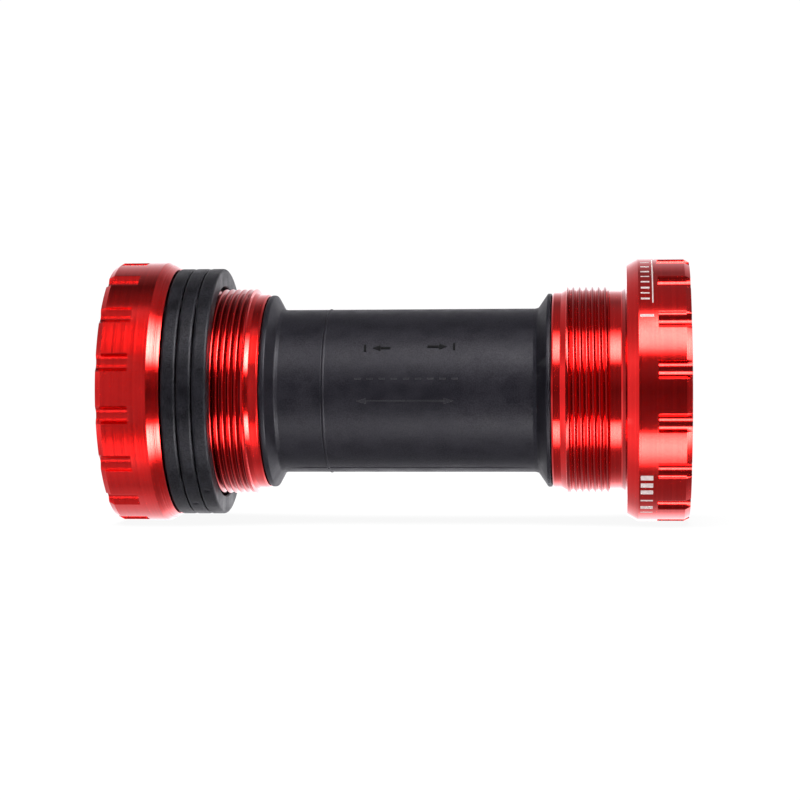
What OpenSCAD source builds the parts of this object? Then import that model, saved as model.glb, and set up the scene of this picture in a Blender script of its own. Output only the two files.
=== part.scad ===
// External-bearing bottom bracket for a 1.37 in x 24 tpi threaded shell, 68 or 73 mm wide,
// and a 24 mm spindle. Two threaded cups are pushed onto a plastic sleeve, each cup holds
// a sealed ball bearing with a plastic cap, and three loose spacers sit on the drive side.
//
// Units are millimetres. X is the spindle axis, with the drive side at -X, and +Z is up.
// The origin is on the axis, at the middle of the overall length.

/* [Layout] */
// Width of the frame's shell that the cups screw into
shell_w = 68; // [67.5:0.1:68.5]
// Thickness of one spacer
spacer_t = 2.5; // [2.3:0.1:2.6]
// Slack between the drive-side flange and the first spacer
first_slack = 0.2; // [0.05:0.05:0.4]
// Slack between one spacer and the next
spacer_slack = 0.05; // [0.02:0.01:0.1]

/* [Cup flanges] */
// Outside diameter of the flanges
cup_od = 44; // [43.8:0.1:44.4]
// Width of each flange
flange_w = 10.35; // [10.1:0.05:11]
// Spanner notches around each flange
notch_count = 16; // [12:1:18]
// Length of a notch, from the outboard face
notch_len = 5.3; // [4.5:0.1:6]
// Radius of the cutter that makes a notch
notch_cut_r = 1.55; // [1.4:0.05:1.7]
// Depth of a notch below the flange's outside diameter
notch_depth = 1.15; // [0.8:0.05:1.3]
// Angle of the drive-side cup's first notch, from +Z towards +Y
right_notch_phase = 12.4; // [0:0.1:22.5]
// Angle of the other cup's first notch, from +Z towards +Y
left_notch_phase = 8.5; // [0:0.1:22.5]

/* [Cup barrels] */
// Barrel length of the drive-side cup
right_barrel = 15.5; // [15:0.1:16]
// Barrel length of the other cup
left_barrel = 12.3; // [12:0.1:13]
// Major diameter of the thread
thread_od = 34.8; // [34.6:0.05:34.9]
// Through bore of the barrels, where the sleeve plugs in
barrel_bore_d = 30; // [29.8:0.1:30.1]

/* [Bearing] */
// Ball diameter
ball_d = 3.5; // [3.4:0.05:3.5]
// Number of balls
ball_count = 21; // [19:1:21]

/* [Cap and spindle] */
// Diameter of the spindle bore in each bearing cap
spindle_d = 24; // [22:0.1:24]
// How far the cap's boss stands proud of the flange
boss_proud = 0.3; // [0.2:0.05:0.5]

/* [Sleeve] */
// Outside diameter of the tube
tube_od = 27.6; // [27.4:0.1:27.8]
// Inside diameter of the tube
tube_id = 25.2; // [25:0.1:25.4]
// Diameter of the flared ends that meet the barrels
flare_od = 32.6; // [32.2:0.1:32.8]
// Rim width of the flare at the drive side
right_rim = 1; // [0.8:0.1:1.3]
// Rim width of the flare at the other side
left_rim = 0.8; // [0.7:0.1:1]
// Length of the plug at each end that goes into a barrel
plug_len = 6.5; // [6:0.1:7]

/* [Spacers] */
// Outside diameter
spacer_od = 41.8; // [41.2:0.1:42]
// Inside diameter
spacer_id = 35.7; // [35.6:0.05:35.8]

/* [Hidden] */
$fn = 96;

anodised = "firebrick";
plastic = "#2b2c31";
rubber = "#17181a";
steel = "silver";

slip = 0.01;             // clearance that stands for a push or press fit
running = 0.05;          // clearance of a part that turns in another
spacer_count = 3;
spacer_step = spacer_t + spacer_slack;
stack_end = first_slack + spacer_count * spacer_t + (spacer_count - 1) * spacer_slack;

// Shell-side faces of the two flanges
left_face_x = (shell_w + stack_end) / 2;
right_face_x = -left_face_x;

// 24 threads to the inch
pitch = 25.4 / 24;

// Thin-section ball bearing, 25 x 37 x 7
bearing_od = 37;
bearing_id = 25;
bearing_w = 7;

// Flange profile
cup_r = cup_od / 2;
outer_chamfer = [0.5, 0.9];    // radial, axial
inner_chamfer = [1.05, 1.9];
notch_centre_r = cup_r - notch_depth + notch_cut_r;
mouth_chamfer = 0.3;

// Barrel profile, measured inboard from the shell-side face
thread_r = thread_od / 2;
neck_r = thread_r - 0.75;
tip_r = thread_r - 0.95;
root_fillet = 0.7;
neck_len = 2.75;
tip_len = 1.5;
lead_len = 0.9;
groove_w = 0.45;               // width of a thread groove at the crest
groove_depth = groove_w / 2 * tan(60);
covered_relief = 0.25;         // crest relief where the spacers cover the thread
tip_break = 0.2;
bore_r = barrel_bore_d / 2;
bore_chamfer = 0.4;

// Bearing seat, measured from the flange's outboard face
seat_r = bearing_od / 2;
seat_z = -bearing_w - 1.5;
seat_relief_r = 16.6;
seat_relief = 1;

// Bearing internals, measured from the bearing's middle plane
half_w = bearing_w / 2;
bearing_z = seat_z + half_w;
race_chamfer = 0.3;
ball_r = ball_d / 2;
ball_pcr = (bearing_od + bearing_id) / 4;
track_r = ball_r + 0.02;
inner_land_r = ball_pcr - 1.15;
outer_land_r = ball_pcr + 1.15;
seal_t = 0.7;
seal_inset = 0.2;
seal_foot = 0.4;               // depth of the seal's foot in the outer race
cage_half_t = 0.75;
cage_back = 2.2;
cage_front = 1.2;
pocket_r = ball_r + 0.08;

// Cap, measured from the flange's outboard face
bush_r = bearing_id / 2 - slip;
cap_disc_r = seat_r - 0.35;
cap_disc_z = [-1.3, -0.3];
boss_r = 14.2;

// Sleeve
tube_r = tube_od / 2;
flare_r = flare_od / 2;
sleeve_bore_r = tube_id / 2;
flare_cone = 1.4;
flare_fillet = 0.8;
plug_r = bore_r - 0.3;
plug_gap = 0.15;
ring_cord_r = 0.5;
ring_seat_z = 3.6;
ring_outer_r = bore_r - 0.02;
ring_slot_w = 1.2;
ring_slot_r = ring_outer_r - 2 * ring_cord_r - 0.03;
seam_x = -12.05;
seam_w = 0.3;
seam_h = 0.12;
parting_angle = 160;           // from straight up, toward -Y
parting_w = 0.22;
parting_h = 0.1;
arrow_h = 0.15;
arrow_w = 0.4;

// Spacers
spacer_edge = 0.35;

right_tip_x = right_face_x + right_barrel;
left_tip_x = left_face_x - left_barrel;
right_full_z = -stack_end - 0.1;   // the thread is uncovered from the last spacer on
left_full_z = -neck_len;

// Points on an arc about c, from angle a0 to a1
function arc(c, r, a0, a1, steps = 6) =
    [for (i = [0 : steps]) c + r * [cos(a0 + (a1 - a0) * i / steps), sin(a0 + (a1 - a0) * i / steps)]];

// Thread grooves and crests from z0 up to z1, at crest radius r, as [radius, z] points
function thread_rings(z0, z1, r) =
    let (turns = floor((z1 - z0 - groove_w) / pitch) + 1)
    [
        for (i = [0 : turns - 1])
            let (z = z0 + i * pitch)
            each [
                [r - groove_depth, z + groove_w / 2],
                [r, z + groove_w],
                [r, i == turns - 1 ? z1 : z + pitch]
            ]
    ];

// Lay a shape made about +Z along the axis, with +Z pointing outboard and z = 0 at x
module left_at(x) {
    translate([x, 0, 0]) rotate([0, 90, 0]) children();
}

module right_at(x) {
    translate([x, 0, 0]) mirror([1, 0, 0]) rotate([0, 90, 0]) children();
}

module revolve(points) {
    rotate_extrude() polygon(points);
}

// A plain ring between two radii and two heights
module ring(inner_r, outer_r, z0, z1) {
    translate([0, 0, z0])
        difference() {
            cylinder(r = outer_r, h = z1 - z0);
            translate([0, 0, -1]) cylinder(r = inner_r, h = z1 - z0 + 2);
        }
}

// The turned cup, before its notches are cut. The thread is uncovered from full_z to its tip
module cup_blank(barrel, full_z) {
    thread_z0 = -(barrel - tip_len - lead_len);
    revolve(concat(
        [
            [bore_r, flange_w + seat_z - seat_relief],
            [bore_r, -barrel + bore_chamfer],
            [bore_r + bore_chamfer, -barrel],
            [tip_r - tip_break, -barrel],
            [tip_r, -barrel + tip_break],
            [tip_r, -barrel + tip_len],
            [thread_r - groove_depth, thread_z0]
        ],
        thread_rings(thread_z0, full_z, thread_r),
        full_z == -neck_len ? [] : thread_rings(full_z, -neck_len, thread_r - covered_relief),
        [[neck_r, -neck_len]],
        arc([neck_r + root_fillet, -root_fillet], root_fillet, 180, 90),
        [
            [cup_r - inner_chamfer[0], 0],
            [cup_r, inner_chamfer[1]],
            [cup_r, flange_w - outer_chamfer[1]],
            [cup_r - outer_chamfer[0], flange_w],
            [seat_r + mouth_chamfer, flange_w],
            [seat_r, flange_w - mouth_chamfer],
            [seat_r, flange_w + seat_z],
            [seat_relief_r, flange_w + seat_z],
            [seat_relief_r, flange_w + seat_z - seat_relief]
        ]
    ));
}

// A cup, drawn outboard from its shell-side face, with its spanner notches milled in
module cup(barrel, full_z, phase) {
    color(anodised)
        difference() {
            cup_blank(barrel, full_z);
            for (i = [0 : notch_count - 1])
                rotate([0, 0, phase + i * 360 / notch_count])
                    translate([notch_centre_r, 0, flange_w - notch_len])
                        cylinder(r = notch_cut_r, h = notch_len + 1);
        }
}

module outer_race() {
    rim = seat_r - slip;
    top = half_w - slip;
    foot_r = outer_land_r + seal_foot;
    foot_z = half_w - seal_inset - seal_t - slip;
    color(steel)
        translate([0, 0, bearing_z])
            difference() {
                revolve([
                    [foot_r, -top],
                    [rim - race_chamfer, -top],
                    [rim, -top + race_chamfer],
                    [rim, top - race_chamfer],
                    [rim - race_chamfer, top],
                    [foot_r, top],
                    [foot_r, foot_z],
                    [outer_land_r, foot_z],
                    [outer_land_r, -foot_z],
                    [foot_r, -foot_z]
                ]);
                ball_track();
            }
}

// The groove that the balls run in
module ball_track() {
    rotate_extrude() translate([ball_pcr, 0]) circle(r = track_r);
}

module inner_race() {
    bore = bearing_id / 2;
    top = half_w - slip;
    color(steel)
        translate([0, 0, bearing_z])
            difference() {
                revolve([
                    [bore, -top + race_chamfer],
                    [bore + race_chamfer, -top],
                    [inner_land_r - race_chamfer, -top],
                    [inner_land_r, -top + race_chamfer],
                    [inner_land_r, top - race_chamfer],
                    [inner_land_r - race_chamfer, top],
                    [bore + race_chamfer, top],
                    [bore, top - race_chamfer]
                ]);
                ball_track();
            }
}

// Repeats a shape once for each ball
module each_ball() {
    for (i = [0 : ball_count - 1])
        rotate([0, 0, i * 360 / ball_count]) translate([ball_pcr, 0, bearing_z]) children();
}

module balls() {
    color(steel) each_ball() sphere(r = ball_r);
}

// Crown cage: a ring whose pockets open towards the inboard face
module ball_cage() {
    color("darkgoldenrod")
        difference() {
            ring(ball_pcr - cage_half_t, ball_pcr + cage_half_t, bearing_z - cage_front, bearing_z + cage_back);
            each_ball() rotate([0, 90, 0]) cylinder(r = pocket_r, h = 4, center = true);
        }
}

// Rubber shield between the races. side is 1 for the outboard face and -1 for the inboard one
module seal(side) {
    inner = inner_land_r + running;
    outer = outer_land_r + seal_foot - slip;
    z_out = half_w - seal_inset;
    color(rubber)
        translate([0, 0, bearing_z])
            mirror([0, 0, side > 0 ? 0 : 1])
                revolve([
                    [inner, z_out - seal_t],
                    [outer, z_out - seal_t],
                    [outer, z_out],
                    [outer - 0.5, z_out],
                    [outer - 0.8, z_out - 0.2],
                    [inner + 0.6, z_out - 0.2],
                    [inner + 0.3, z_out],
                    [inner, z_out]
                ]);
}

// Bush that reduces the bearing's bore to the spindle, with the disc that covers the bearing
module bearing_cap() {
    inner = spindle_d / 2;
    bush_end = seat_z + 0.3;
    face_z = seat_z + bearing_w;
    color(plastic)
        revolve([
            [inner, bush_end + 0.2],
            [inner + 0.1, bush_end],
            [bush_r, bush_end],
            [bush_r, face_z],
            [boss_r - 0.3, face_z],
            [boss_r + 0.2, cap_disc_z[0]],
            [cap_disc_r, cap_disc_z[0]],
            [cap_disc_r, cap_disc_z[1] - 0.3],
            [cap_disc_r - 0.3, cap_disc_z[1]],
            [boss_r + 0.4, cap_disc_z[1]],
            [boss_r, cap_disc_z[1] + 0.3],
            [boss_r, boss_proud - 0.2],
            [boss_r - 0.2, boss_proud],
            [inner + 0.4, boss_proud],
            [inner, boss_proud - 0.4]
        ]);
}

// One end of the sleeve, drawn outboard from its flare's face at z = 0, which meets a barrel
module sleeve_end(rim) {
    cone_z = -rim - flare_cone;
    revolve(concat(
        [
            [sleeve_bore_r, cone_z - flare_fillet],
            [tube_r, cone_z - flare_fillet]
        ],
        arc([tube_r + flare_fillet, cone_z - flare_fillet], flare_fillet, 180, 130, 4),
        [
            [flare_r - 0.3, -rim],
            [flare_r, -rim + 0.3],
            [flare_r, -plug_gap],
            [plug_r, -plug_gap],
            [plug_r, ring_seat_z - ring_slot_w / 2],
            [ring_slot_r, ring_seat_z - ring_slot_w / 2],
            [ring_slot_r, ring_seat_z + ring_slot_w / 2],
            [plug_r, ring_seat_z + ring_slot_w / 2],
            [plug_r, plug_len - 0.4],
            [plug_r - 0.4, plug_len],
            [sleeve_bore_r, plug_len]
        ]
    ));
}

// Raised arrow along +X from its tail at the origin, as deep as the tube is thick
module arrow(shaft, head) {
    half = head * 0.42;
    linear_extrude(height = tube_r + arrow_h)
        polygon([
            [0, -arrow_w / 2],
            [shaft, -arrow_w / 2],
            [shaft, -half],
            [shaft + head, 0],
            [shaft, half],
            [shaft, arrow_w / 2],
            [0, arrow_w / 2]
        ]);
}

// The moulded direction arrows on the tube's -Y side, as slivers that stand arrow_h above it
module moulded_arrows() {
    intersection() {
        rotate([90, 0, 0]) {
            translate([-0.85, 7, 0]) rotate([0, 0, 180]) arrow(1.7, 1.2);
            translate([5.25, 7.2, 0]) arrow(2.2, 1.2);
            translate([1.85, -1.7, 0]) rotate([0, 0, 180]) arrow(6.2, 1.7);
            translate([1.85, -1.7, 0]) arrow(6.2, 1.7);
        }
        rotate([0, 90, 0]) ring(tube_r - 0.1, tube_r + arrow_h, -12, 12);
    }
}

module inner_sleeve() {
    fillet_end = flare_cone + flare_fillet;
    tube_x0 = right_tip_x + right_rim + fillet_end;
    tube_x1 = left_tip_x - left_rim - fillet_end;
    color(plastic)
        union() {
            right_at(right_tip_x) sleeve_end(right_rim);
            left_at(left_tip_x) sleeve_end(left_rim);
            rotate([0, 90, 0]) ring(sleeve_bore_r, tube_r, tube_x0, tube_x1);
            rotate([0, 90, 0]) ring(tube_r - 0.1, tube_r + seam_h, seam_x - seam_w / 2, seam_x + seam_w / 2);
            for (side = [0, 180])
                rotate([side + parting_angle, 0, 0])
                    translate([tube_x0 + 0.3, -parting_w / 2, tube_r - 0.1])
                        cube([tube_x1 - tube_x0 - 0.6, parting_w, parting_h + 0.1]);
            moulded_arrows();
        }
}

module sleeve_oring() {
    color(rubber)
        rotate_extrude() translate([ring_outer_r - ring_cord_r, ring_seat_z]) circle(r = ring_cord_r);
}

// A loose spacer; index 0 is the one beside the drive-side flange
module spacer(index) {
    z1 = -first_slack - index * spacer_step;
    z0 = z1 - spacer_t;
    inner = spacer_id / 2;
    outer = spacer_od / 2;
    color(plastic)
        revolve(concat(
            [[inner, z0 + 0.2], [inner + 0.2, z0]],
            arc([outer - spacer_edge, z0 + spacer_edge], spacer_edge, -90, 0, 4),
            arc([outer - spacer_edge, z1 - spacer_edge], spacer_edge, 0, 90, 4),
            [[inner + 0.2, z1], [inner, z1 - 0.2]]
        ));
}

// The sub-parts in their places. Bearings and caps are drawn from a flange's outboard face
left_end_x = left_face_x + flange_w;
right_end_x = -left_end_x;

module right_sleeve_oring() { right_at(right_tip_x) sleeve_oring(); }
module left_sleeve_oring() { left_at(left_tip_x) sleeve_oring(); }
module spacer_1() { right_at(right_face_x) spacer(0); }
module spacer_2() { right_at(right_face_x) spacer(1); }
module spacer_3() { right_at(right_face_x) spacer(2); }
module right_cup() {
    right_at(right_face_x) cup(right_barrel, right_full_z, 180 - right_notch_phase);
}
module left_cup() {
    left_at(left_face_x) cup(left_barrel, left_full_z, 180 - left_notch_phase);
}
module right_bearing_cap() { right_at(right_end_x) bearing_cap(); }
module left_bearing_cap() { left_at(left_end_x) bearing_cap(); }
module right_outer_race() { right_at(right_end_x) outer_race(); }
module left_outer_race() { left_at(left_end_x) outer_race(); }
module right_inner_race() { right_at(right_end_x) inner_race(); }
module left_inner_race() { left_at(left_end_x) inner_race(); }
module right_balls() { right_at(right_end_x) balls(); }
module left_balls() { left_at(left_end_x) balls(); }
module right_ball_cage() { right_at(right_end_x) ball_cage(); }
module left_ball_cage() { left_at(left_end_x) ball_cage(); }
module right_outboard_seal() { right_at(right_end_x) seal(1); }
module left_outboard_seal() { left_at(left_end_x) seal(1); }
module right_inboard_seal() { right_at(right_end_x) seal(-1); }
module left_inboard_seal() { left_at(left_end_x) seal(-1); }

inner_sleeve();
right_sleeve_oring();
left_sleeve_oring();
spacer_1();
spacer_2();
spacer_3();
right_cup();
right_bearing_cap();
right_outer_race();
right_inner_race();
right_balls();
right_ball_cage();
right_outboard_seal();
right_inboard_seal();
left_cup();
left_bearing_cap();
left_outer_race();
left_inner_race();
left_balls();
left_ball_cage();
left_outboard_seal();
left_inboard_seal();
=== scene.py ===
import math

import bmesh
import bpy
import numpy as np
from mathutils import Matrix, Vector


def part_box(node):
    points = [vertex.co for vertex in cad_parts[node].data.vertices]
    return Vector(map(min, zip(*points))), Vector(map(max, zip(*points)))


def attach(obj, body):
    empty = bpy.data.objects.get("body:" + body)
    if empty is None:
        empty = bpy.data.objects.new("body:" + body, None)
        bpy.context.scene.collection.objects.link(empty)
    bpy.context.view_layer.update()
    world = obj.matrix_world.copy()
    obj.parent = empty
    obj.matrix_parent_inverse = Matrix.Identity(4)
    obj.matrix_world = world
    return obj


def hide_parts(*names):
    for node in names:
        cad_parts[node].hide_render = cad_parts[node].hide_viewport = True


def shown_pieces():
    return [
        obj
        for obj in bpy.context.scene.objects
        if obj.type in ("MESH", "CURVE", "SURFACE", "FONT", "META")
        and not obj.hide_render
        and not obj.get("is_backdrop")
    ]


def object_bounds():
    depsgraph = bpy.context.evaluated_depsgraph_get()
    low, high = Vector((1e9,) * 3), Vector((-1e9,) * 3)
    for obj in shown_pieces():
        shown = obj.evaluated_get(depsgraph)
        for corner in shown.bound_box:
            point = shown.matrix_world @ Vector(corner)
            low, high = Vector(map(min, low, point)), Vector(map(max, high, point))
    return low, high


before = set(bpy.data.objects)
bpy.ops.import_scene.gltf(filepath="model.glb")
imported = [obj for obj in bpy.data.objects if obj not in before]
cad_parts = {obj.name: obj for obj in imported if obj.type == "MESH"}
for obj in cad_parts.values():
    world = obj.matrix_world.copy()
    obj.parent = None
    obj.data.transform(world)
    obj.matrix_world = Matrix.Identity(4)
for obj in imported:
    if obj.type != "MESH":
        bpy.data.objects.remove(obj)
cad_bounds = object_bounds()

MM = 0.001
TAU = 2 * math.pi


# ---------------------------------------------------------------- shape tools
# Lengths in millimetres. Z in a profile runs along the axis and R is the radius.
# Angles run from -Y (the side that faces the camera) up toward +Z.

def box_x(node):
    low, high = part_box(node)
    return low.x / MM, high.x / MM


def rounded(corners):
    """Profile points from (z, r, rounding) corners of a closed outline, with arcs at the corners."""
    points = []
    count = len(corners)
    for i, (z, r, rounding) in enumerate(corners):
        here = np.array((z, r))
        before = np.array(corners[i - 1][:2]) - here
        after = np.array(corners[(i + 1) % count][:2]) - here
        if rounding <= 0:
            points.append(tuple(here))
            continue
        a = before / np.linalg.norm(before)
        b = after / np.linalg.norm(after)
        half = math.acos(max(-1, min(1, a @ b))) / 2
        reach = min(rounding / math.tan(half), 0.45 * np.linalg.norm(before), 0.45 * np.linalg.norm(after))
        radius = reach * math.tan(half)
        centre = here + (a + b) / np.linalg.norm(a + b) * radius / math.sin(half)
        start = here + a * reach
        end = here + b * reach
        turn0 = math.atan2(*(start - centre)[::-1])
        turn = (math.atan2(*(end - centre)[::-1]) - turn0 + math.pi) % TAU - math.pi
        steps = 4 if radius > 0.3 else 3
        points.append(tuple(here + a * reach * 1.25))
        for k in range(steps + 1):
            t = turn0 + turn * k / steps
            points.append((centre[0] + radius * math.cos(t), centre[1] + radius * math.sin(t)))
        points.append(tuple(here + b * reach * 1.25))
    return points


def ring_xyz(x, radius, angles):
    """Points of one ring about the X axis; x and radius are numbers or one value per angle."""
    x = np.broadcast_to(x, angles.shape)
    return np.stack([x, -radius * np.cos(angles), radius * np.sin(angles)], 1)


def ring_faces(first, second, count):
    i = np.arange(count)
    j = (i + 1) % count
    return np.stack([first + i, first + j, second + j, second + i], 1)


def make_object(name, points, faces, material, sharp=32.0, weld=True):
    """A smooth-shaded object from points in mm; edges sharper than the angle stay crisp."""
    mesh = bpy.data.meshes.new(name)
    mesh.from_pydata((np.asarray(points) * MM).tolist(), [], [list(map(int, f)) for f in faces])
    bm = bmesh.new()
    bm.from_mesh(mesh)
    if weld:
        bmesh.ops.remove_doubles(bm, verts=bm.verts, dist=2e-7)
        bmesh.ops.dissolve_degenerate(bm, edges=bm.edges, dist=1e-8)
    bmesh.ops.recalc_face_normals(bm, faces=bm.faces)
    bm.to_mesh(mesh)
    bm.free()
    mesh.shade_smooth()
    mesh.set_sharp_from_angle(angle=math.radians(sharp))
    for m in (material if isinstance(material, (list, tuple)) else [material]):
        mesh.materials.append(m)
    obj = bpy.data.objects.new(name, mesh)
    bpy.context.scene.collection.objects.link(obj)
    return obj


def revolve(profile, angles, to_x, radius_of=None):
    """Rings for a closed (z, r) profile. radius_of(z, r, angles) may vary a ring's radius round its turn."""
    n = len(angles)
    rings = []
    for z, r in profile:
        radius = radius_of(z, r, angles) if radius_of else np.full(n, float(r))
        rings.append(ring_xyz(to_x(z), radius, angles))
    faces = [ring_faces(i * n, (i + 1) % len(profile) * n, n) for i in range(len(profile))]
    return np.concatenate(rings), np.concatenate(faces)


# ---------------------------------------------------------------- materials

class Nodes:
    """Short names for building a node tree."""

    def __init__(self, tree):
        self.tree = tree
        tree.nodes.clear()

    def add(self, kind, settings=None, **inputs):
        node = self.tree.nodes.new(kind)
        for key, value in (settings or {}).items():
            setattr(node, key, value)
        for key, value in inputs.items():
            self.put(node, key.replace("_", " "), value)
        return node

    def put(self, node, socket, value):
        target = node.inputs[socket]
        if isinstance(value, bpy.types.NodeSocket):
            self.tree.links.new(value, target)
        else:
            target.default_value = value

    def math(self, operation, a, b=0.0, c=0.0):
        node = self.tree.nodes.new("ShaderNodeMath")
        node.operation = operation
        for socket, value in zip(node.inputs, (a, b, c)):
            if isinstance(value, bpy.types.NodeSocket):
                self.tree.links.new(value, socket)
            else:
                socket.default_value = value
        return node.outputs[0]

    def mix(self, factor, a, b):
        node = self.tree.nodes.new("ShaderNodeMix")
        node.data_type = "RGBA"
        for index, value in ((0, factor), (6, a), (7, b)):
            if isinstance(value, bpy.types.NodeSocket):
                self.tree.links.new(value, node.inputs[index])
            else:
                node.inputs[index].default_value = value
        return node.outputs[2]

    def span(self, value, a, b, low=0.0, high=1.0, smooth=True):
        node = self.add("ShaderNodeMapRange", {"interpolation_type": "SMOOTHSTEP" if smooth else "LINEAR"})
        for key, v in (("Value", value), ("From Min", a), ("From Max", b), ("To Min", low), ("To Max", high)):
            self.put(node, key, v)
        return node.outputs["Result"]

    def noise(self, vector, scale, detail=3.0, rough=0.55, dims="3D", w=None):
        node = self.add("ShaderNodeTexNoise", {"noise_dimensions": dims},
                        Scale=scale, Detail=detail, Roughness=rough)
        if dims != "1D":
            self.put(node, "Vector", vector)
        if w is not None:
            self.put(node, "W", w)
        return node.outputs[0]


def rgb(r, g, b):
    return (r, g, b, 1.0)


def start_material(name):
    """A new node material: its node helper, and object coordinates in millimetres, whole and split."""
    material = bpy.data.materials.new(name)
    material.use_nodes = True
    n = Nodes(material.node_tree)
    coords = n.add("ShaderNodeTexCoord")
    scaled = n.add("ShaderNodeVectorMath", {"operation": "SCALE"}, Vector=coords.outputs["Object"])
    scaled.inputs["Scale"].default_value = 1000.0
    split = n.add("ShaderNodeSeparateXYZ", None, Vector=scaled.outputs[0])
    return material, n, scaled.outputs[0], split.outputs


def finish_material(n, shader):
    out = n.add("ShaderNodeOutputMaterial")
    n.tree.links.new(shader.outputs[0], out.inputs["Surface"])


def edge_mask(n, low, high):
    """0 on faces, rising to 1 along convex edges."""
    geometry = n.add("ShaderNodeNewGeometry")
    return n.span(geometry.outputs["Pointiness"], low, high)


THREAD_R = 17.4
# Painted shade along X, on the threads and in the corner beside the left flange: start, end, and how
# dark the painted shade is below the thread's crests and at them
PAINTED_SHADE_SPANS = [(-35.05, -24.75, 1.0, 0.4), (28.05, 35.05, 0.5, 0.95), (37.1, 37.9, 0.8, 1.0)]


def painted_shade_mask(n, x, y, z):
    """How much painted shade darkens the metal on the threads and in the corner by the left flange; 0
    everywhere else.
    """
    radius = n.math("SQRT", n.math("ADD", n.math("MULTIPLY", y, y), n.math("MULTIPLY", z, z)))
    total = 0.0
    for start, end, flank, crest in PAINTED_SHADE_SPANS:
        inside = n.math("MULTIPLY", n.span(x, start, start + 0.15), n.span(x, end - 0.15, end, 1, 0))
        share = n.span(radius, THREAD_R - 0.14, THREAD_R - 0.02, flank, crest)
        total = n.math("ADD", total, n.math("MULTIPLY", inside, share))
    return total


def anodised(name):
    """Red anodised aluminium, turned about X: fine lines round it, paler worn edges, painted shade on the
    threads and by the left flange.
    """
    material, n, mm, (x, y, z) = start_material(name)
    fine = n.noise(None, 5.5, 3.0, 0.75, "1D", x)
    broad = n.noise(None, 1.6, 1.0, 0.5, "1D", x)
    lines = n.math("ADD", n.math("MULTIPLY", fine, 0.75), n.math("MULTIPLY", broad, 0.25))
    cloud = n.noise(mm, 0.22, 4.0, 0.6)
    grain = n.noise(mm, 14.0, 2.0, 0.6)
    scuffs = n.span(n.noise(mm, 0.9, 6.0, 0.7), 0.60, 0.74)
    tone = n.mix(n.span(cloud, 0.35, 0.65), rgb(0.60, 0.0012, 0.0012), rgb(0.68, 0.0032, 0.0028))
    tone = n.mix(n.math("MULTIPLY", n.span(lines, 0.40, 0.60), 0.8), tone, rgb(0.76, 0.010, 0.008))
    tone = n.mix(n.math("MULTIPLY", edge_mask(n, 0.53, 0.62), 0.25), tone, rgb(0.80, 0.10, 0.09))
    # Painted shade: the threads and the corner beside the left flange are darkened in the colour itself
    tone = n.mix(n.math("MULTIPLY", painted_shade_mask(n, x, y, z), 0.9), tone, rgb(0.31, 0.0010, 0.0016))
    rough = n.math("ADD", n.span(lines, 0.35, 0.65, 0.11, 0.165), n.math("MULTIPLY", scuffs, 0.07))
    rough = n.math("ADD", rough, n.math("MULTIPLY", grain, 0.03))
    height = n.math("ADD", n.math("MULTIPLY", lines, 1.0), n.math("MULTIPLY", grain, 0.12))
    bump = n.add("ShaderNodeBump", None, Strength=0.10, Distance=0.00002, Height=height)
    tangent = n.add("ShaderNodeTangent", {"direction_type": "RADIAL", "axis": "X"})
    shader = n.add("ShaderNodeBsdfPrincipled", None, Base_Color=tone, Metallic=1.0, Roughness=rough,
                   Anisotropic=0.55, Anisotropic_Rotation=0.25, Tangent=tangent.outputs[0],
                   Coat_Weight=0.30, Coat_Roughness=0.10, Coat_IOR=1.6, Normal=bump.outputs[0])
    finish_material(n, shader)
    return material


def plastic(name, dark, light, rough_low, rough_high, edge, shine, mottle=0.0):
    """Moulded plastic: satin grain, faint flow marks, edges rubbed a little paler."""
    material, n, mm, _ = start_material(name)
    cloud = n.noise(mm, 0.35, 5.0, 0.6)
    grain = n.noise(mm, 4.5, 4.0, 0.75)
    stretch = n.add("ShaderNodeVectorMath", {"operation": "MULTIPLY"}, Vector=mm)
    stretch.inputs[1].default_value = (0.25, 1.6, 1.6)
    flow = n.noise(stretch.outputs[0], 0.8, 3.0, 0.5)
    tone = n.mix(n.span(cloud, 0.36, 0.64), dark, light)
    tone = n.mix(n.math("MULTIPLY", n.span(flow, 0.5, 0.68), 0.35), tone, light)
    if mottle:
        spots = n.span(n.noise(mm, 1.6, 5.0, 0.75), 0.5, 0.66)
        tone = n.mix(n.math("MULTIPLY", spots, mottle), tone, dark)
    tone = n.mix(n.math("MULTIPLY", edge_mask(n, 0.52, 0.62), edge), tone, rgb(0.07, 0.07, 0.075))
    rough = n.span(n.math("ADD", n.math("MULTIPLY", cloud, 0.6), n.math("MULTIPLY", grain, 0.4)),
                   0.35, 0.65, rough_low, rough_high)
    dull = (0.8 - 0.4 * mottle) * shine
    bright = (1.25 + 0.6 * mottle) * shine
    bump = n.add("ShaderNodeBump", None, Strength=0.38, Distance=0.00003, Height=grain)
    shader = n.add("ShaderNodeBsdfPrincipled", None, Base_Color=tone, Roughness=rough,
                   Specular_IOR_Level=n.span(grain, 0.38, 0.62, dull, bright),
                   Specular_Tint=rgb(0.86, 0.84, 1.0), Normal=bump.outputs[0])
    finish_material(n, shader)
    return material


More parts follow.
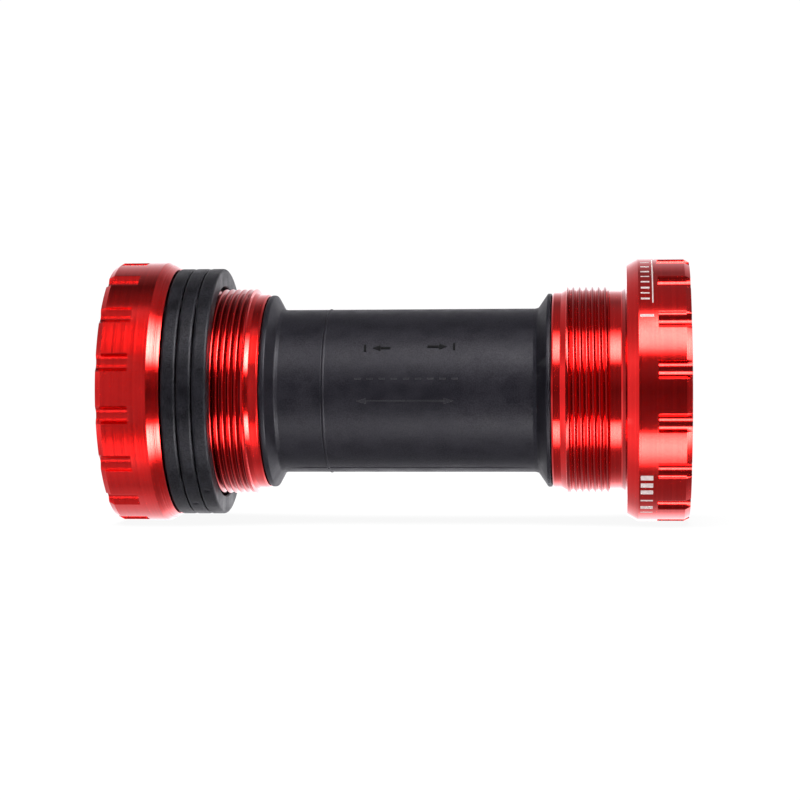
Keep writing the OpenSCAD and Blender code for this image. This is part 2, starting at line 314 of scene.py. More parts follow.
def steel(name, base, warm, rough_low, rough_high, turned):
    """Bearing steel: ground lines round the axis where it is turned, faint oil tint, brighter edges."""
    material, n, mm, (x, _, _) = start_material(name)
    lines = n.noise(None, 16.0, 2.0, 0.6, "1D", x)
    cloud = n.noise(mm, 0.7, 4.0, 0.55)
    oil = n.span(n.noise(mm, 0.35, 3.0, 0.6), 0.5, 0.7)
    tone = n.mix(n.math("MULTIPLY", oil, 0.6), base, warm)
    tone = n.mix(n.math("MULTIPLY", edge_mask(n, 0.52, 0.6), 0.5), tone, rgb(0.86, 0.86, 0.87))
    rough = n.span(n.math("ADD", n.math("MULTIPLY", lines, turned), n.math("MULTIPLY", cloud, 1 - turned)),
                   0.35, 0.65, rough_low, rough_high)
    bump = n.add("ShaderNodeBump", None, Strength=0.08, Distance=0.00002, Height=lines if turned else cloud)
    shader = n.add("ShaderNodeBsdfPrincipled", None, Base_Color=tone, Metallic=1.0, Roughness=rough,
                   Normal=bump.outputs[0])
    finish_material(n, shader)
    return material


def marking(name, tone_low, tone_high, rough):
    """The pale, slightly uneven surface that a laser leaves on anodised metal."""
    material, n, mm, _ = start_material(name)
    speck = n.noise(mm, 16.0, 4.0, 0.7)
    cloud = n.noise(mm, 2.0, 3.0, 0.6)
    blend = n.math("ADD", n.math("MULTIPLY", speck, 0.6), n.math("MULTIPLY", cloud, 0.4))
    tone = n.mix(n.span(blend, 0.4, 0.6), tone_low, tone_high)
    tone = n.mix(n.math("MULTIPLY", edge_mask(n, 0.52, 0.6), 0.3), tone, tone_low)
    bump = n.add("ShaderNodeBump", None, Strength=0.2, Distance=0.00001, Height=speck)
    shader = n.add("ShaderNodeBsdfPrincipled", None, Base_Color=tone,
                   Roughness=n.span(speck, 0.3, 0.7, rough, rough + 0.2), Normal=bump.outputs[0])
    finish_material(n, shader)
    return material


RED = anodised("red_anodised_turned")
SLEEVE_PLASTIC = plastic("sleeve_charcoal", rgb(0.0032, 0.0030, 0.0050), rgb(0.0064, 0.0060, 0.0088),
                         rough_low=0.38, rough_high=0.52, edge=0.20, shine=0.16, mottle=0.2)
SPACER_PLASTIC = plastic("spacer_charcoal", rgb(0.0008, 0.0008, 0.0014), rgb(0.0068, 0.0068, 0.0092),
                         rough_low=0.34, rough_high=0.52, edge=0.25, shine=0.135, mottle=0.8)
CAP_PLASTIC = plastic("cap_black", rgb(0.008, 0.008, 0.010), rgb(0.016, 0.016, 0.019),
                      rough_low=0.34, rough_high=0.50, edge=0.30, shine=0.25)
MARK_PLASTIC = plastic("moulded_mark", rgb(0.0005, 0.0005, 0.0008), rgb(0.0015, 0.0015, 0.0020),
                       rough_low=0.50, rough_high=0.60, edge=0.10, shine=0.03)
RUBBER = plastic("seal_rubber", rgb(0.010, 0.010, 0.011), rgb(0.022, 0.021, 0.022),
                 rough_low=0.62, rough_high=0.80, edge=0.20, shine=0.2, mottle=0.4)
CAGE = plastic("cage_nylon", rgb(0.40, 0.27, 0.11), rgb(0.58, 0.42, 0.20),
               rough_low=0.40, rough_high=0.58, edge=0.15, shine=0.3, mottle=0.3)
RACE = steel("race_steel", rgb(0.60, 0.60, 0.62), rgb(0.55, 0.50, 0.42), 0.18, 0.32, 0.7)
BALL = steel("ball_steel", rgb(0.74, 0.74, 0.76), rgb(0.68, 0.64, 0.56), 0.04, 0.11, 0.0)
LASER = marking("laser_mark", rgb(0.56, 0.42, 0.42), rgb(0.86, 0.76, 0.76), 0.45)


# ---------------------------------------------------------------- the cups

PITCH = 25.4 / 24
NOTCHES = 16
NECK_R = 16.65
TIP_R = 16.45
TIP_BORE_R = 15.0
CUP_R = 22.0
SHELL_FACE_R = 20.95
OUTER_FACE_R = 21.5
SEAT_R = 18.5
SEAT_DEPTH = 8.5
SEAT_RELIEF_R = 16.6
SEAT_RELIEF = 1.0
FLANGE_W = 10.35
NOTCH_LEN = 5.3
NOTCH_CENTRE = 22.4
NOTCH_CUT = 1.55
# How far the thread's run-in cone rises for each mm along it, and where the thread ends beside the flange
LEAD_SLOPE = 0.58
THREAD_END = -2.85

# One pitch of the thread from the start of a crest: distance along it, and depth below the crest
THREAD_FORM = [(0.0, 0.10), (0.06, 0.03), (0.13, 0.0), (0.21, 0.0), (0.28, 0.03), (0.34, 0.10),
               (0.599, 0.52), (0.66, 0.60), (0.738, 0.60), (0.799, 0.52)]


def cup_columns(phase_deg):
    """Angles round a cup: close together over each notch and its edges, wider between notches."""
    notch_half = math.degrees(math.acos((CUP_R ** 2 + NOTCH_CENTRE ** 2 - NOTCH_CUT ** 2)
                                        / (2 * CUP_R * NOTCH_CENTRE)))
    inside = np.linspace(-notch_half + 0.25, notch_half - 0.25, 11)
    edges = np.array([-0.35, -0.12, 0.0, 0.12])
    sector = 360 / NOTCHES
    offsets = np.concatenate([
        -notch_half + edges, inside, notch_half - edges[::-1],
        np.linspace(notch_half + 0.9, sector - notch_half - 0.9, 9),
    ])
    sectors = [phase_deg + k * sector + offsets for k in range(NOTCHES)]
    return np.radians(np.sort(np.concatenate(sectors)))


def notch_radius(angles, phase_deg):
    """Distance from the axis to the notch's wall at each angle, or far out between notches."""
    sector = TAU / NOTCHES
    d = (angles - math.radians(phase_deg) + sector / 2) % sector - sector / 2
    reach = NOTCH_CUT ** 2 - (NOTCH_CENTRE * np.sin(d)) ** 2
    wall = NOTCH_CENTRE * np.cos(d) - np.sqrt(np.maximum(reach, 0))
    return np.where(reach > 0, wall, 99.0)


def soft_min(a, b, k):
    """The smaller of two radii, rounded where they cross."""
    h = np.maximum(k - np.abs(a - b), 0) / k
    return np.minimum(a, b) - h * h * k / 4


def thread_rings(z0, z1, angles, to_x):
    """Rings that follow the helix between two planes; each turn's last column joins the next turn's first."""
    n = len(angles)
    share = (angles - angles[0]) / TAU
    steps = len(THREAD_FORM)
    turns = math.ceil((z1 - z0) / PITCH) + 1
    form_z = np.array([f[0] for f in THREAD_FORM] + [PITCH])
    form_d = np.array([f[1] for f in THREAD_FORM] + [THREAD_FORM[0][1]])
    rings = []
    for k in range(turns * steps + 1):
        turn, step = divmod(k, steps)
        z = z0 + turn * PITCH + THREAD_FORM[step][0] - share * PITCH
        z = np.clip(z, z0, z1)
        phase = (z - z0 + share * PITCH) % PITCH
        depth = np.interp(phase, form_z, form_d)
        fade = np.clip((z - z0) / 0.75, 0, 1)
        rings.append(ring_xyz(to_x(z), THREAD_R - 0.01 - depth * fade * fade * (3 - 2 * fade), angles))
    faces = []
    count = len(rings)
    i = np.arange(n - 1)
    for k in range(count - 1):
        a, b = k * n, (k + 1) * n
        faces.append(np.stack([a + i, a + i + 1, b + i + 1, b + i], 1))
        c, d = max(k - steps, 0) * n, max(k + 1 - steps, 0) * n
        faces.append(np.array([[a + n - 1, c, d, b + n - 1]]))
    return np.concatenate(rings), np.concatenate(faces)


def clean(faces):
    """Faces with repeated corners lose them; those left with fewer than three go."""
    kept = []
    for f in faces:
        corners = list(dict.fromkeys(f.tolist()))
        if len(corners) > 2:
            kept.append(corners)
    return kept


def make_cup(side, barrel, phase_deg, bevel_len, tip_len, lead_len, turned_lines):
    """A cup for one side: the turned outside with its notches and helical thread, and the bored inside.

    turned_lines lists points down the flange's bevel: the share of its length, and how deep the point sinks.
    """
    low, high = box_x(side + "_cup")
    outward = 1 if side == "left" else -1
    face_x = high - FLANGE_W if side == "left" else low + FLANGE_W

    def to_x(z):
        return face_x + outward * z

    angles = cup_columns(phase_deg)
    n = len(angles)
    walls = notch_radius(angles, phase_deg)
    notch_end = FLANGE_W - NOTCH_LEN

    def radius_of(z, r, _):
        if z < notch_end - 0.05 or r < OUTER_FACE_R - 0.3:
            return np.full(n, float(r))
        depth = np.clip((z - notch_end + 0.05) / 0.08, 0, 1)
        cut = soft_min(np.full(n, float(r)), walls, 0.05)
        return r + (cut - r) * depth

    lead = -barrel + tip_len
    lead_r = TIP_R + (lead_len - 0.12) * LEAD_SLOPE
    thread_start = lead + lead_len
    front = rounded([
        (-barrel + 0.5, TIP_BORE_R, 0), (-barrel + 0.4, TIP_BORE_R, 0.08),
        (-barrel, TIP_BORE_R + 0.4, 0.06), (-barrel, TIP_R - 0.23, 0.05),
        (-barrel + 0.27, TIP_R, 0.05), (lead, TIP_R, 0.05),
        (thread_start - 0.12, lead_r, 0.04), (thread_start, THREAD_R - 0.01, 0),
    ])
    bevel = [(0, SHELL_FACE_R, 0.08)]
    for share, sink in turned_lines:
        bevel.append((share * bevel_len + 0.5 * sink,
                      SHELL_FACE_R + share * (CUP_R - SHELL_FACE_R) - 0.87 * sink, 0.01))
    bevel.append((bevel_len, CUP_R, 0.06))
    flange_body = [(notch_end + dz, CUP_R, 0) for dz in (-0.06, -0.03, 0.03, 0.05, 2.0)]
    flange_body += [(FLANGE_W - 0.9, CUP_R, 0.06), (FLANGE_W, OUTER_FACE_R, 0.06)]
    seat_end = FLANGE_W - SEAT_DEPTH
    relief_end = seat_end - SEAT_RELIEF
    inside = [
        (FLANGE_W, OUTER_FACE_R - 0.9, 0), (FLANGE_W, SEAT_R + 0.35, 0.06), (FLANGE_W - 0.35, SEAT_R, 0.05),
        (seat_end, SEAT_R, 0.05), (seat_end, SEAT_RELIEF_R, 0.05), (relief_end, SEAT_RELIEF_R, 0.05),
        (relief_end, TIP_BORE_R, 0.1), (-barrel / 2, TIP_BORE_R, 0),
    ]
    neck = [
        (THREAD_END, THREAD_R - 0.3, 0), (THREAD_END + 0.14, NECK_R + 0.02, 0.03), (-0.92, NECK_R, 0.03),
        (-0.60, NECK_R + 0.18, 0.05), (-0.24, NECK_R + 0.46, 0.05), (0, NECK_R + 1.3, 0.05),
    ]
    loop = rounded(neck + bevel + flange_body + inside)[1:]
    points, faces = [], []

    def add(new_points, new_faces):
        offset = sum(len(p) for p in points)
        points.append(new_points)
        faces.extend((np.asarray(f) + offset) for f in new_faces)

    rings = np.concatenate([ring_xyz(to_x(z), np.full(n, float(r)), angles) for z, r in front])
    add(rings, np.concatenate([ring_faces(i * n, (i + 1) * n, n) for i in range(len(front) - 1)]))
    thread_points, thread_faces = thread_rings(thread_start, THREAD_END, angles, to_x)
    add(thread_points, thread_faces)
    last_thread = sum(len(p) for p in points) - n
    rest = np.concatenate([ring_xyz(to_x(z), radius_of(z, r, angles), angles) for z, r in loop])
    quads = np.concatenate([ring_faces(i * n, (i + 1) * n, n) for i in range(len(loop) - 1)])
    first_rest = last_thread + n
    add(rest, quads)
    faces.extend(ring_faces(last_thread, first_rest, n))
    faces.extend(ring_faces(first_rest + (len(loop) - 1) * n, 0, n))
    cup = make_object(side + "_cup_turned", np.concatenate(points), clean(faces), RED)
    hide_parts(side + "_cup")
    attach(cup, side + "_cup")
    return face_x


TWO_LINES = [
    (0.27, 0), (0.285, 0.05), (0.325, 0.05), (0.34, 0), (0.425, 0), (0.45, 0.09), (0.52, 0.09), (0.545, 0),
]

make_cup("right", barrel=15.5, phase_deg=12.4, bevel_len=1.95, tip_len=1.6, lead_len=0.75,
         turned_lines=TWO_LINES)
left_face = make_cup("left", barrel=12.3, phase_deg=8.5, bevel_len=1.85, tip_len=1.45, lead_len=1.0,
                     turned_lines=[])


# ---------------------------------------------------------------- patches that lie on a cylinder

def patch(outline, x0, turn_deg, radius, base, top, steps=1):
    """Points and faces of a plate on a cylinder about X. Its outline is convex: (along X, round the axis)."""
    dense = []
    for i, a in enumerate(outline):
        b = outline[(i + 1) % len(outline)]
        for k in range(steps):
            dense.append((a[0] + (b[0] - a[0]) * k / steps, a[1] + (b[1] - a[1]) * k / steps))
    n = len(dense)

    def place(shrink, level):
        cx = sum(p[0] for p in dense) / n
        cs = sum(p[1] for p in dense) / n
        result = []
        for px, ps in dense:
            qx = cx + (px - cx) * shrink
            t = math.radians(turn_deg) + (cs + (ps - cs) * shrink) / radius
            result.append((x0 + qx, -level * math.cos(t), level * math.sin(t)))
        return result

    lift = top - base
    points = place(1, base) + place(1, base + 0.6 * lift) + place(0.94, top)
    faces = [list(range(n))[::-1]]
    for level in (0, 1):
        for i in range(n):
            j = (i + 1) % n
            faces.append([level * n + i, level * n + j, (level + 1) * n + j, (level + 1) * n + i])
    faces.append([2 * n + i for i in range(n)])
    return points, faces


def strip(x, width, deg0, deg1, base, top):
    """A closed band of the given width along X that follows the cylinder from one angle to another."""
    count = max(1, round(abs(deg1 - deg0) / 1.5))
    points, faces = [], []
    for k in range(count + 1):
        t = math.radians(deg0 + (deg1 - deg0) * k / count)
        for dx, level in ((-width / 2, base), (width / 2, base), (width / 2, top), (-width / 2, top)):
            points.append((x + dx, -level * math.cos(t), level * math.sin(t)))
    for k in range(count):
        a, b = 4 * k, 4 * k + 4
        for i in range(4):
            j = (i + 1) % 4
            faces.append([a + i, a + j, b + j, b + i])
    faces += [[3, 2, 1, 0], [4 * count + i for i in range(4)]]
    return points, faces


def bar(length_x, length_s):
    return [(-length_x / 2, -length_s / 2), (length_x / 2, -length_s / 2),
            (length_x / 2, length_s / 2), (-length_x / 2, length_s / 2)]


def join(parts):
    points, faces = [], []
    for p, f in parts:
        offset = len(points)
        points.extend(p)
        faces.extend([[i + offset for i in face] for face in f])
    return points, faces


# The pale marks on the left cup's flange: a turning arrow, a short wide bar, and plain bars beside them
LASER_BASE, LASER_TOP = CUP_R - 0.02, CUP_R + 0.006


def laser_strip(z, width, deg0, deg1):
    return strip(left_face + z, width, deg0, deg1, LASER_BASE, LASER_TOP)


marks = [
    laser_strip(4.15, 0.20, 39.6, 78.0),
    patch([(-0.55, -0.4), (0.55, -0.4), (0, 0.9)], left_face + 4.15, 79.0, CUP_R, LASER_BASE, LASER_TOP),
    laser_strip(3.2, 2.2, 32.2, 33.5),
]
# Bars beside the arrow and below it: the angle of each one's middle, and half its height in degrees
UPPER_BARS = [
    (42.0, 0.5), (45.4, 0.35), (48.8, 0.6), (53.0, 0.5), (57.2, 0.35), (61.6, 0.6), (67.0, 0.6), (73.0, 0.6),
]
LOWER_BARS = [(-40.2, 1.3), (-44.6, 1.3), (-49.0, 1.3), (-55.0, 0.5), (-61.0, 1.3), (-66.0, 0.5)]
for centre, half in UPPER_BARS:
    marks.append(laser_strip(2.95, 1.4, centre - half, centre + half))
for centre, half in LOWER_BARS:
    marks.append(laser_strip(3.15, 2.0, centre - half, centre + half))
laser = make_object("left_flange_marks", *join(marks), LASER, weld=False)
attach(laser, "left_cup")


# ---------------------------------------------------------------- the sleeve

TUBE_R = 13.8
FLARE_R = 16.3
BORE_R = 12.6
SEAM_X = -12.05
PARTING = (-70.0, 110.0)

right_tip = box_x("right_cup")[1]
left_tip = box_x("left_cup")[0]
sleeve_low, sleeve_high = box_x("inner_sleeve")


def sleeve_end(tip, out, nose, rim, run):
    """Outline points of one end from the bore outward to the tube: plug, ring groove, rim and flare."""
    edge = tip - out * 0.17
    end = sleeve_low if out < 0 else sleeve_high
    seat = tip + out * 3.6
    return [
        (end, BORE_R + 0.3, 0.1), (end, 14.3, 0.1), (end - out * 0.5, 14.7, 0.15),
        (seat + out * 0.62, 14.7, 0.05), (seat + out * 0.62, 13.95, 0.05), (seat - out * 0.62, 13.95, 0.05),
        (seat - out * 0.62, 14.7, 0.05), (edge, 14.7, 0.05), (edge, FLARE_R, nose),
        (tip - out * rim, FLARE_R, nose), (tip - out * (rim + run), TUBE_R + 0.14, 0.5),
        (tip - out * (rim + run + 0.6), TUBE_R, 0.2), (tip - out * (rim + run + 1.2), TUBE_R, 0),
    ]


outline = sleeve_end(right_tip, -1, 0.3, 1.0, 1.3)
outline += [
    (SEAM_X - 1.0, TUBE_R, 0), (SEAM_X - 0.32, TUBE_R, 0), (SEAM_X - 0.22, TUBE_R - 0.07, 0.02),
    (SEAM_X - 0.10, TUBE_R - 0.04, 0.02), (SEAM_X - 0.02, TUBE_R + 0.12, 0.03),
    (SEAM_X + 0.11, TUBE_R + 0.12, 0.04), (SEAM_X + 0.3, TUBE_R, 0.03), (SEAM_X + 1.0, TUBE_R, 0),
]
outline += sleeve_end(left_tip, 1, 0.2, 0.8, 1.6)[::-1]
outline += [(sleeve_high - 0.5, BORE_R, 0.05), (sleeve_low + 0.5, BORE_R, 0.05)]
outline = rounded(outline)

columns = set(np.arange(0, 360, 1.875).tolist())
for seam in PARTING:
    columns = {c for c in columns if abs((c - seam + 180) % 360 - 180) > 1.6}
    columns |= {(seam + d) % 360 for d in (-1.4, -0.75, -0.5, -0.3, -0.15, 0.15, 0.3, 0.5, 0.75, 1.4)}
sleeve_angles = np.radians(sorted(columns))


def parting_height(x, angles):
    """The parting line: a low ridge with a fine groove below it, fading at the flares."""
    reach = np.clip((x - (right_tip + 4.4)) / 0.6, 0, 1) * np.clip(((left_tip - 3.9) - x) / 0.6, 0, 1)
    height = np.zeros(len(angles))
    for seam in PARTING:
        d = (np.degrees(angles) - seam + 180) % 360 - 180
        height += np.where(np.abs(d - 0.15) < 0.2, 0.07, 0) + np.where(np.abs(d + 0.4) < 0.15, -0.07, 0)
    return height * reach


def sleeve_radius(x, r, angles):
    if abs(r - TUBE_R) > 0.15:
        return np.full(len(angles), float(r))
    return r + parting_height(x, angles)


dense_outline = []
for i, (z, r) in enumerate(outline):
    dense_outline.append((z, r))
    nz, nr = outline[(i + 1) % len(outline)]
    pieces = int(abs(nz - z) // 4)
    for k in range(1, pieces + 1):
        t = k / (pieces + 1)
        dense_outline.append((z + (nz - z) * t, r + (nr - r) * t))
sleeve_points, sleeve_faces = revolve(dense_outline, sleeve_angles, lambda z: z, sleeve_radius)
sleeve = make_object("inner_sleeve_moulded", sleeve_points, sleeve_faces, SLEEVE_PLASTIC)
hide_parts("inner_sleeve")
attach(sleeve, "sleeve")


def arrow_parts(tail, tip, z, width, head, head_width, level):
    """A straight arrow on the sleeve from tail to tip along X, at height z, as two plates."""
    turn = math.degrees(math.asin(z / TUBE_R))
    way = 1 if tip > tail else -1
    neck = tip - way * head
    middle = (tail + neck) / 2
    return [
        patch(bar(abs(neck - tail), width), middle, turn, TUBE_R, TUBE_R - 0.1, TUBE_R + level),
        patch([(0, -head_width / 2), (way * head, 0), (0, head_width / 2)][::way], neck, turn,
              TUBE_R, TUBE_R - 0.1, TUBE_R + level),
    ]


dark_marks = arrow_parts(-0.85, -3.75, 7.0, 0.4, 1.3, 1.2, 0.15)
dark_marks += arrow_parts(5.25, 8.45, 7.2, 0.4, 1.3, 1.2, 0.15)
dark_marks.append(patch(bar(0.4, 1.3), -5.05, 30.5, TUBE_R, TUBE_R - 0.1, TUBE_R + 0.15))
dark_marks.append(patch(bar(0.4, 1.3), 9.65, 31.4, TUBE_R, TUBE_R - 0.1, TUBE_R + 0.15))
arrows = make_object("sleeve_arrows", *join(dark_marks), MARK_PLASTIC, weld=False)
faint = arrow_parts(1.84, -6.35, -1.7, 0.3, 1.6, 1.0, 0.06)
faint += arrow_parts(1.86, 9.65, -1.7, 0.3, 1.6, 1.0, 0.06)
for k in range(9):
    faint.append(patch(bar(1.0, 0.3), -6.15 + 2.0 * k, 8.2, TUBE_R, TUBE_R - 0.1, TUBE_R + 0.05))
bars = make_object("sleeve_bars", *join(faint), SLEEVE_PLASTIC, weld=False)
for obj in (arrows, bars):
    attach(obj, "sleeve")


# ---------------------------------------------------------------- the spacers

# Each face stands this far inside its plane, so that faces pushed together don't share one
FACE_GAP = 0.04


def make_spacer(index, turn_deg):
    """A moulded spacer with rounded rims, and a small gate mark sunk in its rim."""
    name = f"spacer_{index}"
    low, high = box_x(name)
    low, high = low + FACE_GAP, high - FACE_GAP
    inner, outer = 35.7 / 2, 41.8 / 2
    profile = rounded([
        (low, inner + 0.2, 0.08), (low, outer, 0.4), (high, outer, 0.4), (high, inner + 0.2, 0.08),
        (high - 0.2, inner, 0.08), (low + 0.2, inner, 0.08),
    ])
    middle = (low + high) / 2
    rows = []
    for i, (z, r) in enumerate(profile):
        rows.append((z, r))
        nz, nr = profile[(i + 1) % len(profile)]
        if abs(r - outer) < 1e-6 and abs(nr - outer) < 1e-6 and abs(nz - z) > 0.8:
            rows += [(z + (nz - z) * t, r) for t in (0.15, 0.3, 0.45, 0.55, 0.7, 0.85)]
    gate = turn_deg
    angles = set(np.arange(0, 360, 1.5).tolist())
    angles |= {(gate + d) % 360 for d in (-1.1, -0.7, -0.35, 0.35, 0.7, 1.1)}
    angles = np.radians(sorted(angles))

    def radius_of(x, r, a):
        if abs(r - outer) > 1e-6:
            return np.full(len(a), float(r))
        d = np.abs((np.degrees(a) - gate + 180) % 360 - 180)
        near = np.clip(1 - d / 1.2, 0, 1) * np.clip(1 - abs(x - middle) / 0.6, 0, 1)
        return r - 0.22 * near

    points, faces = revolve(rows, angles, lambda z: z, radius_of)
    spacer = make_object(name + "_moulded", points, faces, SPACER_PLASTIC)
    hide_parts(name)
    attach(spacer, name)


make_spacer(1, 128)
make_spacer(2, -64)
make_spacer(3, -52)


# ---------------------------------------------------------------- the bearing caps

BUSH_R = 12.49
DISC_R = 18.15
BOSS_R = 14.2
SPINDLE_R = 12.0


def make_cap(side):
    """The black cap over a bearing: bush, covering disc with a dust groove, and raised boss."""
    name = side + "_bearing_cap"
    low, high = box_x(name)
    out = 1 if side == "left" else -1
    top = high if out > 0 else low
    deep = low if out > 0 else high
    disc = top - out * 0.6
    groove = disc - out * 0.18
    step = top - out * 0.12
    profile = rounded([
        (deep, BUSH_R - 0.19, 0.1), (deep + out * 0.25, BUSH_R, 0.05), (disc - out * 1.0, BUSH_R, 0.05),
        (disc - out * 1.0, DISC_R, 0.12), (disc, DISC_R, 0.16), (disc, 17.1, 0.06), (groove, 16.95, 0.06),
        (groove, 16.35, 0.06), (disc, 16.2, 0.06), (disc, BOSS_R + 0.4, 0.22), (top, BOSS_R, 0.18),
        (top, 12.9, 0.06), (step, 12.75, 0.05), (step, 12.4, 0.05), (top - out * 0.5, SPINDLE_R, 0.08),
        (deep + out * 0.3, SPINDLE_R, 0.08),
    ])
    angles = np.radians(np.arange(0, 360, 2.0))
    points, faces = revolve(profile, angles, lambda z: z)
    cap = make_object(name + "_moulded", points, faces, CAP_PLASTIC)
    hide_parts(name)
    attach(cap, side + "_bearing_rotor")


make_cap("right")
make_cap("left")


# ---------------------------------------------------------------- carried-over parts

CARRIED = {
    "sleeve_oring": RUBBER, "outer_race": RACE, "inner_race": RACE, "balls": BALL,
    "ball_cage": CAGE, "outboard_seal": RUBBER, "inboard_seal": RUBBER,
}
for side in ("right", "left"):
    for part, material in CARRIED.items():
        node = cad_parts[f"{side}_{part}"]
        node.data.materials.clear()
        node.data.materials.append(material)


# ---------------------------------------------------------------- floor, light and camera

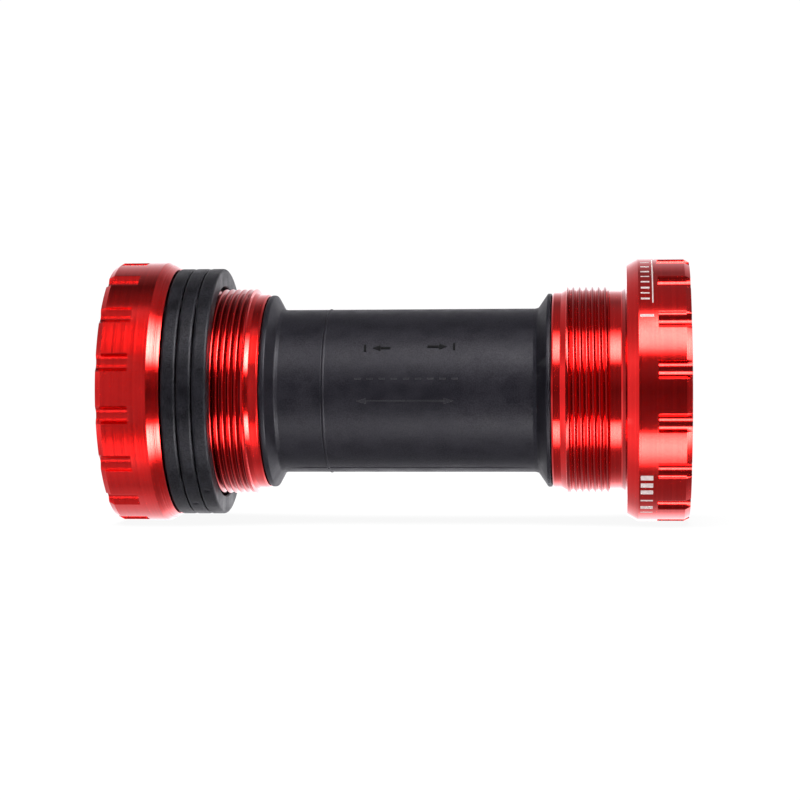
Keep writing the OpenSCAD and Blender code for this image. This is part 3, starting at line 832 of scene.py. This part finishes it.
low, high = cad_bounds
floor_mesh = bpy.data.meshes.new("floor")
HALF = 4.0
corners = [(-HALF, -HALF, 0), (HALF, -HALF, 0), (HALF, HALF, 0), (-HALF, HALF, 0)]
floor_mesh.from_pydata(corners, [], [(0, 1, 2, 3)])
floor = bpy.data.objects.new("floor", floor_mesh)
floor.location.z = low.z - 0.0002
floor_material = bpy.data.materials.new("pale_floor")
floor_material.use_nodes = True
floor_shader = floor_material.node_tree.nodes["Principled BSDF"]
floor_shader.inputs["Base Color"].default_value = rgb(0.90, 0.90, 0.90)
floor_shader.inputs["Roughness"].default_value = 1.0
floor_shader.inputs["Specular IOR Level"].default_value = 0.0
floor_mesh.materials.append(floor_material)
bpy.context.scene.collection.objects.link(floor)
floor.visible_glossy = False
floor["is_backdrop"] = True


def studio_world():
    """Soft boxes above and below the camera's side, dark between them, white behind; white to the camera."""
    world = bpy.data.worlds.new("studio")
    bpy.context.scene.world = world
    world.use_nodes = True
    n = Nodes(world.node_tree)
    coords = n.add("ShaderNodeTexCoord")
    split = n.add("ShaderNodeSeparateXYZ", None, Vector=coords.outputs["Generated"])
    x, y, z = split.outputs
    rise = n.math("MULTIPLY", n.math("ARCTAN2", z, n.math("MULTIPLY", y, -1.0)), 180 / math.pi)

    def table(value, low, high, entries):
        """A curve through (input, output) points."""
        ramp = n.add("ShaderNodeValToRGB", None, Fac=n.span(value, low, high, smooth=False))
        elements = ramp.color_ramp.elements
        while len(elements) < len(entries):
            elements.new(0.5)
        top = max(v for _, v in entries)
        for element, (at, v) in zip(elements, sorted(entries)):
            element.position = (at - low) / (high - low)
            element.color = (v / top, v / top, v / top, 1)
        return n.math("MULTIPLY", ramp.outputs[0], top)

    # The boxes stand nearer on the right, so they cover a wider angle there
    wide = n.span(x, 0.25, 0.62)

    def widened(middle, amount):
        """The rise, pulled toward a box's middle where wide is high."""
        pull = n.math("MULTIPLY", n.math("SUBTRACT", middle, rise), wide)
        return n.math("ADD", rise, n.math("MULTIPLY", pull, amount))

    above = table(widened(48.0, 0.20), 0, 90, [
        (30, 0), (33.5, 0.25), (37, 0.68), (42, 1.0), (48, 1.15), (54, 1.0), (60, 0.70), (66, 0.32),
        (71, 0.08), (76, 0)])
    below = table(widened(-52.0, 0.10), -90, 0, [
        (-76, 0), (-70, 0.02), (-63, 0.34), (-57, 0.76), (-50, 1.0), (-44, 0.85), (-40, 0.52),
        (-37, 0.14), (-35, 0)])
    boxes = n.math("ADD", above, below)
    reach = table(x, -1, 1, [
        (-0.19, 0.0), (-0.125, 0.2), (-0.09, 8.0), (-0.05, 17.7), (0.3, 18.0), (0.5, 28.0), (0.75, 40.0),
        (0.82, 20.0), (0.855, 1.0), (1.0, 0.5)])
    front = table(rise, -180, 180, [
        (-180, 1.9), (-142, 1.75), (-134, 1.0), (-120, 0.56), (-107, 0.37), (-95, 0.34), (-74, 0.40),
        (-30, 0.26), (-17, 0.20), (0, 0.12), (17, 0.25), (27, 0.28), (60, 0.36), (84, 0.41), (103, 0.38),
        (124, 0.28), (150, 0.8), (180, 1.5)])
    flank = table(rise, -180, 180, [
        (-180, 1.5), (-133, 0.95), (-112, 0.85), (-92, 0.52), (-75, 0.74), (-64, 1.08), (-50, 0.92),
        (-40, 0.40), (-31, 0.50), (0, 0.64), (26, 0.60), (37, 0.42), (49, 0.42), (62, 0.50), (74, 0.90),
        (85, 0.24), (106, 0.07), (124, 0.24), (150, 0.8), (180, 1.5)])
    side = table(rise, -180, 180, [
        (-180, 1.5), (-133, 0.75), (-90, 0.75), (-63, 1.4), (-39, 1.4), (-20, 1.05), (0, 0.96), (17, 1.05),
        (36, 1.35), (60, 0.8), (84, 0.54), (124, 0.6), (150, 0.8), (180, 1.5)])
    fill = n.mix(n.span(x, -0.40, -0.26), side, flank)
    fill = n.mix(n.span(x, -0.18, -0.06), fill, front)
    fill = n.math("MULTIPLY", fill, n.span(x, -0.97, -0.90, 0.6, 1.0))
    fill = n.math("ADD", fill, n.span(x, 0.82, 0.93, 0, 0.4))
    glossy = n.add("ShaderNodeLightPath").outputs["Is Glossy Ray"]
    lights = [
        (rgb(1.0, 1.0, 0.90), n.math("MULTIPLY", n.math("MULTIPLY", reach, boxes), glossy)),
        (rgb(1.0, 0.985, 1.03), n.math("MULTIPLY", fill, glossy)),
        (rgb(1.0, 1.0, 1.0), n.math("MULTIPLY", n.math("SUBTRACT", 1.0, glossy), 1.03)),
    ]
    shaders = [n.add("ShaderNodeBackground", None, Color=colour, Strength=level) for colour, level in lights]
    total = shaders[0]
    for shader in shaders[1:]:
        both = n.add("ShaderNodeAddShader")
        n.tree.links.new(total.outputs[0], both.inputs[0])
        n.tree.links.new(shader.outputs[0], both.inputs[1])
        total = both
    out = n.add("ShaderNodeOutputWorld")
    n.tree.links.new(total.outputs[0], out.inputs["Surface"])
    world.cycles.sampling_method = "NONE"


studio_world()


sun_data = bpy.data.lights.new("soft_top", "SUN")
sun_data.energy = 0.45
sun_data.angle = math.radians(50)
sun = bpy.data.objects.new("soft_top", sun_data)
sun.rotation_euler = (math.radians(12), math.radians(-8), 0)
sun.visible_glossy = False
bpy.context.scene.collection.objects.link(sun)
sun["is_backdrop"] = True

# The floor and the dark plastics take their light from the room alone, so no red glow pools under the part
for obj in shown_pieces():
    obj.visible_diffuse = False

CAMERA_AT = (0.0354, -0.382, 0.0)
CAMERA_DOWN = math.radians(0.238)
CAMERA_ROLL = math.radians(0.17)
camera_data = bpy.data.cameras.new("camera")
camera_data.sensor_width = 36.0
camera_data.lens = 101.56
camera_data.clip_start, camera_data.clip_end = 0.01, 20.0
camera = bpy.data.objects.new("camera", camera_data)
forward = Vector((-0.09336, 0.99568, -math.tan(CAMERA_DOWN))).normalized()
right = forward.cross(Vector((0, 0, 1))).normalized()
roll = Matrix.Rotation(CAMERA_ROLL, 3, forward)
right = roll @ right
up = right.cross(forward)
axes = Matrix((right, up, -forward)).transposed().to_4x4()
camera.matrix_world = Matrix.Translation(CAMERA_AT) @ axes
bpy.context.scene.collection.objects.link(camera)
bpy.context.scene.camera = camera
bpy.context.scene.view_settings.view_transform = "Standard"
